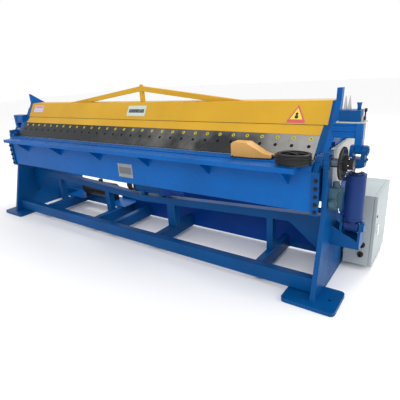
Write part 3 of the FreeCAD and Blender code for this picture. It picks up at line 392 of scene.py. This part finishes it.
def piece(name, shape, material, body):
    """Turns a bmesh into a visible piece that rides on a CAD body."""
    data = bpy.data.meshes.new(name)
    shape.to_mesh(data)
    shape.free()
    made = add_object(name, data)
    data.materials.append(material)
    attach(made, body)
    return made


def turned_to(axis):
    """Turn that points the upright direction along an axis."""
    return Vector((0, 0, 1)).rotation_difference(Vector(axis)).to_matrix().to_4x4()


def add_ring_at(shape, place, axis, outer, inner, height, sides=28, hole_sides=None):
    """Flat ring or, with a hole of six sides, a socket: radii in millimetres, standing on a point."""
    turn = Matrix.Translation(place) @ turned_to(axis)
    loops = []
    for radius, level in ((outer, 0), (outer, height), (inner, height), (inner, 0)):
        loop = []
        for i in range(sides):
            a = math.tau * i / sides
            r = radius / 1000
            if radius == inner and hole_sides == 6:
                r *= math.cos(math.pi / 6) / math.cos((a % (math.pi / 3)) - math.pi / 6)
            loop.append(shape.verts.new(turn @ Vector((r * math.cos(a), r * math.sin(a), level / 1000))))
        loops.append(loop)
    for one, other in zip(loops, loops[1:] + loops[:1]):
        for i in range(sides):
            j = (i + 1) % sides
            shape.faces.new((one[i], one[j], other[j], other[i]))


def add_ring(shape, centre, axis, outer, inner, height, sides=28):
    """Flat ring whose centre is given in the CAD's millimetres."""
    add_ring_at(shape, at(*centre), axis, outer, inner, height, sides)


def add_rod(shape, centre, axis, radius, height, sides=24, top=None):
    """Rod or, with a top radius, a cone, that starts at a point and runs along the axis."""
    turn = Matrix.Translation(at(*centre)) @ turned_to(axis) @ Matrix.Translation((0, 0, height / 2000))
    bmesh.ops.create_cone(shape, cap_ends=True, segments=sides, radius1=radius / 1000,
                          radius2=(radius if top is None else top) / 1000, depth=height / 1000, matrix=turn)


def add_box(shape, low, high):
    """Box between two corners in the CAD's millimetres."""
    a, b = at(*low), at(*high)
    size = b - a
    turn = Matrix.Translation((a + b) / 2) @ Matrix.Diagonal((size.x, size.y, size.z, 1))
    bmesh.ops.create_cube(shape, size=1.0, matrix=turn)


def add_plate(shape, outline, thick):
    """Flat plate from an outline of points in metres, raised along its own normal."""
    verts = [shape.verts.new(p) for p in outline]
    face = shape.faces.new(verts)
    face.normal_update()
    normal = face.normal.copy()
    top = bmesh.ops.extrude_face_region(shape, geom=[face])
    moved = [v for v in top["geom"] if isinstance(v, bmesh.types.BMVert)]
    bmesh.ops.translate(shape, verts=moved, vec=normal * (thick / 1000))


# Lower and upper edge, as (depth, height), of the blade's leaning face and of the amber panel above it.
BLADE_LOW, BLADE_TOP = (44.0, 838.0), (155.0, 959.0)
CREASE, PANEL_TOP = (212.0, 1011.0), (289.0, 1145.0)


def on_slope(low, high, x, up, out=0.0):
    """A point on a leaning face: x along it, up millimetres above its lower edge, out millimetres off it."""
    run = Vector((high[0] - low[0], high[1] - low[1]))
    run.normalize()
    return at(x, low[0] + run.x * up - run.y * out, low[1] + run.y * up + run.x * out)


def slope_normal(low, high):
    """Outward direction of a leaning face."""
    run = Vector((high[0] - low[0], high[1] - low[1])).normalized()
    return Vector((0, -run.y, run.x))


def slope_plate(name, low, high, corners, out, thick, material):
    """Thin plate on a leaning face of the clamping beam, with UVs from 0 to 1."""
    shape = bmesh.new()
    add_plate(shape, [on_slope(low, high, x, up, out) for x, up in corners], thick)
    made = piece(name, shape, material, "clamping_beam")
    layer = made.data.uv_layers.new(name="face")
    xs = [c[0] for c in corners]
    base = on_slope(low, high, min(xs), min(c[1] for c in corners))
    reach = max(c[1] for c in corners) - min(c[1] for c in corners)
    run = Vector((0, high[0] - low[0], high[1] - low[1])).normalized()
    for loop in made.data.loops:
        offset = made.data.vertices[loop.vertex_index].co - base
        layer.data[loop.index].uv = (offset.x * 1000 / (max(xs) - min(xs)), offset.dot(run) * 1000 / reach)


def oblong(x0, x1, up0, up1):
    """Four corners of an upright rectangle on a leaning face."""
    return [(x0, up0), (x1, up0), (x1, up1), (x0, up1)]


def make_signs():
    """Two blank boards and the triangular sign with a plain dark mark."""
    upper = (CREASE, PANEL_TOP)
    slope_plate("board_middle", *upper, oblong(-100, 110, 32, 124), 0.2, 2, BOARD_PALE)
    slope_plate("board_left", *upper, oblong(-1536, -1370, 54, 128), 0.2, 1.5, BOARD_LILAC)
    left, right, foot, top = 1342, 1458, 22, 128
    middle = (left + right) / 2
    slope_plate("hazard_border", *upper, [(left, foot), (right, foot), (middle, top)], 0.2, 1, SIGN_ROSE)
    slope_plate("hazard_foot", *upper, oblong(left, right, foot - 12, foot - 1), 0.2, 1, SIGN_ROSE)
    inner = [(left + 17, foot + 9), (right - 17, foot + 9), (middle, top - 20)]
    slope_plate("hazard_field", *upper, inner, 1.3, 0.8, SIGN_YELLOW)
    shape = bmesh.new()
    normal = slope_normal(*upper)
    for up, radius in ((foot + 26, 12.0), (foot + 46, 9.0)):
        centre = on_slope(*upper, middle, up, 2.2)
        turn = Matrix.Translation(centre) @ turned_to(normal)
        bmesh.ops.create_cone(shape, cap_ends=True, segments=24, radius1=radius / 1000, radius2=radius / 1000,
                              depth=0.0008, matrix=turn)
    piece("hazard_mark", shape, DARK_PRINT_AND_SHADE, "clamping_beam")


PLATE_LOW, PLATE_HIGH = (10, -39.6, 588), (172, -37.8, 700)


def make_data_plate():
    """Blank data plate and its four rivets on the folding panel."""
    shape = bmesh.new()
    add_box(shape, PLATE_LOW, PLATE_HIGH)
    made = piece("data_plate", shape, BOARD_GREY, "folding_beam")
    layer = made.data.uv_layers.new(name="face")
    low, high = at(*PLATE_LOW), at(*PLATE_HIGH)
    for loop in made.data.loops:
        co = made.data.vertices[loop.vertex_index].co
        layer.data[loop.index].uv = ((co.x - low.x) / (high.x - low.x), (co.z - low.z) / (high.z - low.z))
    rivets = bmesh.new()
    for x in (17, 165):
        for z in (595, 693):
            add_rod(rivets, (x, -39.4, z), (0, -1, 0), 3, 1.4, 16, 2.2)
    piece("data_plate_rivets", rivets, CHROME, "folding_beam")


BOLT_PITCH, BOLT_COUNT = 105.5, 30
LOWER_ROW, UPPER_ROW = 86.0, 139.0        # the two rows of holes, counted up the face


def make_blade_detail():
    """Yellow plugs in the spare upper holes and six-sided sockets in the screws of the lower row."""
    plugs, sockets = bmesh.new(), bmesh.new()
    normal = slope_normal(BLADE_LOW, BLADE_TOP)
    for i in range(BOLT_COUNT):
        x = BOLT_PITCH * (i - (BOLT_COUNT - 1) / 2)
        upper = on_slope(BLADE_LOW, BLADE_TOP, x, UPPER_ROW, -1.5)
        add_ring_at(plugs, upper, normal, 7.9, 4.6, 1.9)
        rim = on_slope(BLADE_LOW, BLADE_TOP, x, UPPER_ROW, 0.05)
        add_ring_at(plugs, rim, normal, 12.5, 7.9, 0.5)
        lower = on_slope(BLADE_LOW, BLADE_TOP, x, LOWER_ROW, -4.5)
        add_ring_at(sockets, lower, normal, 5.1, 4.3, 1.6, 24, 6)
    piece("spare_hole_plugs", plugs, YELLOW_PLUG, "clamping_beam")
    piece("screw_sockets", sockets, BLACK_SCREW, "clamping_beam")


def make_crease():
    """Painted shadow along the fold: a dark strip in the gap between the blade's face and the amber panel."""
    shape = bmesh.new()
    add_box(shape, (-1596, CREASE[0] - 3.2, CREASE[1] - 0.8), (1596, CREASE[0] - 0.6, CREASE[1] + 1.2))
    piece("crease_shadow_gap", shape, DARK_PRINT_AND_SHADE, "clamping_beam")


def add_hex_bolt(shape, centre, axis, across, head, washer):
    """Hexagon head on a washer."""
    add_rod(shape, centre, axis, washer, 2.5, 24)
    lifted = Vector(centre) + Vector(axis).normalized() * 2.5
    add_rod(shape, lifted, axis, across / math.sqrt(3), head, 6)


def make_pipe(name, points, radius, material, body):
    """Rigid bent pipe through the points."""
    made = spline_object(name, points, radius / 1000)
    made.data.materials.append(material)
    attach(made, body)


CYL_X, CYL_Y, CYL_PIN_Z = 1787.0, 185.0, 418.0
BARREL_TOP = 742.0
FOLD_Y, FOLD_Z = 38.0, 835.0
DISC_FACE, HUB_FACE = 1750, 1776


def make_cylinder_detail():
    """Gland bolts and lube nipples on both cylinders, and the bent steel pipe on the right-hand one."""
    for side, body in ((1, "right_cylinder"), (-1, "left_cylinder")):
        bolts = bmesh.new()
        for i in range(8):
            a = math.tau * (i + 0.5) / 8
            x, y = side * CYL_X + 37 * math.cos(a), CYL_Y + 37 * math.sin(a)
            add_rod(bolts, (x, y, BARREL_TOP + 8), (0, 0, 1), 4.2, 4, 6)
        piece(body + "_gland_bolts", bolts, BLACK_SCREW, body)
        seal = bmesh.new()
        add_ring(seal, (side * CYL_X, CYL_Y, BARREL_TOP + 8), (0, 0, 1), 29, 23.2, 5)
        piece(body + "_wiper_seal", seal, RUBBER, body)
        nipple = bmesh.new()
        add_rod(nipple, (side * (CYL_X + 39), CYL_Y - 20, CYL_PIN_Z + 24), (side, -0.4, 0.3), 4, 8, 6)
        piece(body + "_grease_nipple", nipple, CHROME, body)
    x = CYL_X - 70
    route = [(x + 6, CYL_Y - 22, 712), (x - 8, CYL_Y - 22, 712), (x - 10, CYL_Y - 26, 700),
             (x - 10, CYL_Y - 28, 640), (x - 10, CYL_Y - 28, 560), (x - 10, CYL_Y - 26, 508),
             (x - 8, CYL_Y - 22, 496), (x + 6, CYL_Y - 22, 496)]
    make_pipe("barrel_pipe", route, 5, CHROME, "right_cylinder")


def make_fork_bolts():
    """Clamping bolts on the forks of both lift rods."""
    for side, body in ((1, "right_rod"), (-1, "left_rod")):
        bolts = bmesh.new()
        for y in (CYL_Y - 20, CYL_Y + 20):
            add_hex_bolt(bolts, (side * (CYL_X + 42), y, 826), (side, 0, 0), 13, 7, 9)
        add_hex_bolt(bolts, (side * CYL_X - 14, CYL_Y - 36, 830), (0, -1, 0), 10, 5, 7)
        add_hex_bolt(bolts, (side * CYL_X + 14, CYL_Y - 36, 830), (0, -1, 0), 10, 5, 7)
        piece(body + "_fork_bolts", bolts, FRAME_BLUE, body)


def make_disc_detail():
    """Hub bolts and turned rings on the dial disc."""
    bolts = bmesh.new()
    for i in range(6):
        a = math.tau * i / 6
        centre = (HUB_FACE, FOLD_Y + 35.5 * math.cos(a), FOLD_Z + 35.5 * math.sin(a))
        add_rod(bolts, centre, (1, 0, 0), 4, 5, 6)
    piece("disc_hub_bolts", bolts, CHROME, "folding_beam")
    rim = bmesh.new()
    add_ring(rim, (DISC_FACE, FOLD_Y, FOLD_Z), (1, 0, 0), 85, 80, 0.8, 72)
    add_ring(rim, (DISC_FACE, FOLD_Y, FOLD_Z), (1, 0, 0), 58, 55, 0.8, 60)
    piece("disc_turned_rings", rim, SHAFT_STEEL, "folding_beam")


MOTOR_Y, MOTOR_Z = 195.0, 452.0
COWL_FACE = -109.5


def around_motor(x, radius, angle):
    """Point in millimetres at a radius and angle around the motor's axis."""
    return (x, MOTOR_Y + radius * math.cos(angle), MOTOR_Z + radius * math.sin(angle))


def make_motor_detail():
    """Cooling ribs on the motor, the cowl's bright rim, its grille and the flange bolts."""
    ribs = bmesh.new()
    for i in range(28):
        a = math.tau * i / 28
        if math.cos(a) < 0.5 and math.sin(a) > -0.8:
            add_rod(ribs, around_motor(4, 59.6, a), (1, 0, 0), 1.6, 284, 6)
    piece("motor_ribs", ribs, FRAME_BLUE, "frame")
    rim = bmesh.new()
    add_ring(rim, (-34, MOTOR_Y, MOTOR_Z), (1, 0, 0), 66.6, 65.2, 12, 64)
    piece("motor_cowl_band", rim, CHROME, "frame")
    grille = bmesh.new()
    for radius in (14, 26, 38, 50):
        add_ring(grille, (COWL_FACE, MOTOR_Y, MOTOR_Z), (1, 0, 0), radius, radius - 3, 1.8, 48)
    for i in range(6):
        a = math.tau * i / 6
        add_rod(grille, around_motor(COWL_FACE, 3, a), (0, math.cos(a), math.sin(a)), 1.2, 48, 8)
    piece("motor_cowl_grille", grille, SHAFT_STEEL, "frame")
    bolts = bmesh.new()
    for i in range(6):
        a = math.tau * (i + 0.5) / 6
        add_rod(bolts, around_motor(300, 61, a), (-1, 0, 0), 4.5, 5, 6)
    piece("motor_flange_bolts", bolts, BLACK_SCREW, "frame")


CAB_LOW, CAB_HIGH = (1694.0, 420.0, 34.0), (1880.0, 850.0, 536.0)
HANDLE_Z = 332.0


def make_cabinet_detail():
    """Lock, rain lip and dark strips of painted shade for the vent slots on the cabinet's rear."""
    lock = bmesh.new()
    add_rod(lock, (1880, 450, HANDLE_Z + 62), (1, 0, 0), 9, 3.5, 28)
    add_box(lock, (1883, 448.8, HANDLE_Z + 57), (1884.2, 451.2, HANDLE_Z + 67))
    piece("cabinet_lock", lock, BLACK_PLASTIC_AND_SLOT_SHADE, "cabinet_door")
    lip = bmesh.new()
    x0, y0, z1 = CAB_LOW[0], CAB_LOW[1], CAB_HIGH[2]
    add_box(lip, (x0 - 2, y0 - 2, z1 - 1), (x0 + 2, CAB_HIGH[1] + 2, z1 + 1.5))
    add_box(lip, (x0 + 2, y0 - 2, z1 - 1), (CAB_HIGH[0] - 6, y0 + 2, z1 + 1.5))
    piece("cabinet_rain_lip", lip, CABINET_GREY, "frame")
    # The vent slots are not cut: thin black strips on the rear face are painted shade standing in for the
    # openings.
    vents = bmesh.new()
    for row in range(8):
        z = 400 + 11 * row
        add_box(vents, (1730, CAB_HIGH[1] - 0.4, z), (1820, CAB_HIGH[1] + 0.8, z + 4))
    piece("cabinet_vent_slots", vents, BLACK_PLASTIC_AND_SLOT_SHADE, "frame")


SWITCH_X0, SWITCH_X1 = 1086.0, 1346.0


def make_switch_detail():
    """Cover screws on the front of the foot switch."""
    screws = bmesh.new()
    for x in (SWITCH_X0 + 12, SWITCH_X1 - 12):
        add_rod(screws, (x, -41, 846), (0, -1, 0), 3.2, 0.8, 16)
    piece("switch_cover_screws", screws, BLACK_SCREW, "foot_switch")


def make_welds():
    """Short weld beads where the gussets meet the folding panel."""
    beads = bmesh.new()
    for i in range(6):
        x = -1315 + 555 * i
        for step in range(9):
            z = 806 - 9 * step
            place = Matrix.Translation(at(x, -38.5, z)) @ Matrix.Diagonal((1.0, 0.6, 1.35, 1))
            bmesh.ops.create_icosphere(beads, subdivisions=1, radius=0.0032, matrix=place)
    piece("gusset_welds", beads, BEAM_BLUE, "folding_beam")


make_signs()
make_data_plate()
make_blade_detail()
make_crease()
make_cylinder_detail()
make_fork_bolts()
make_disc_detail()
make_motor_detail()
make_cabinet_detail()
make_switch_detail()
make_welds()


# ---- floor and light ----------------------------------------------------------------------------
def make_stage():
    """White floor that fades into the background."""
    shape = bmesh.new()
    bmesh.ops.create_grid(shape, x_segments=1, y_segments=1, size=30)
    data = bpy.data.meshes.new("floor")
    shape.to_mesh(data)
    shape.free()
    floor = add_object("floor", data)
    s = Shader("floor")
    s.bsdf.inputs["Base Color"].default_value = (0.95, 0.95, 0.955, 1)
    s.bsdf.inputs["Roughness"].default_value = 0.6
    data.materials.append(s.material)


def area_light(name, place, target, size, power):
    """White rectangular lamp aimed at a point."""
    data = bpy.data.lights.new(name, "AREA")
    data.shape = "RECTANGLE"
    data.size, data.size_y = size
    data.energy = power
    lamp = add_object(name, data)
    lamp.location = place
    lamp.rotation_euler = (Vector(target) - Vector(place)).to_track_quat("-Z", "Y").to_euler()


def make_light():
    """Bright surroundings and three soft lamps."""
    world = bpy.data.worlds.new("studio")
    world.use_nodes = True
    world.node_tree.nodes["Background"].inputs["Color"].default_value = (1, 1, 1, 1)
    world.node_tree.nodes["Background"].inputs["Strength"].default_value = 1.0
    bpy.context.scene.world = world
    bpy.context.scene.view_settings.view_transform = "Standard"
    area_light("key", (2.4, -4.6, 4.4), (0.2, 0, 0.8), (3.0, 2.0), 110)
    area_light("rear_top", (1.2, 3.4, 4.6), (0.4, 0.1, 0.6), (4.0, 1.6), 170)
    area_light("right", (5.5, 0.6, 2.6), (1.8, 0.3, 0.5), (2.0, 2.0), 55)


make_stage()
make_light()
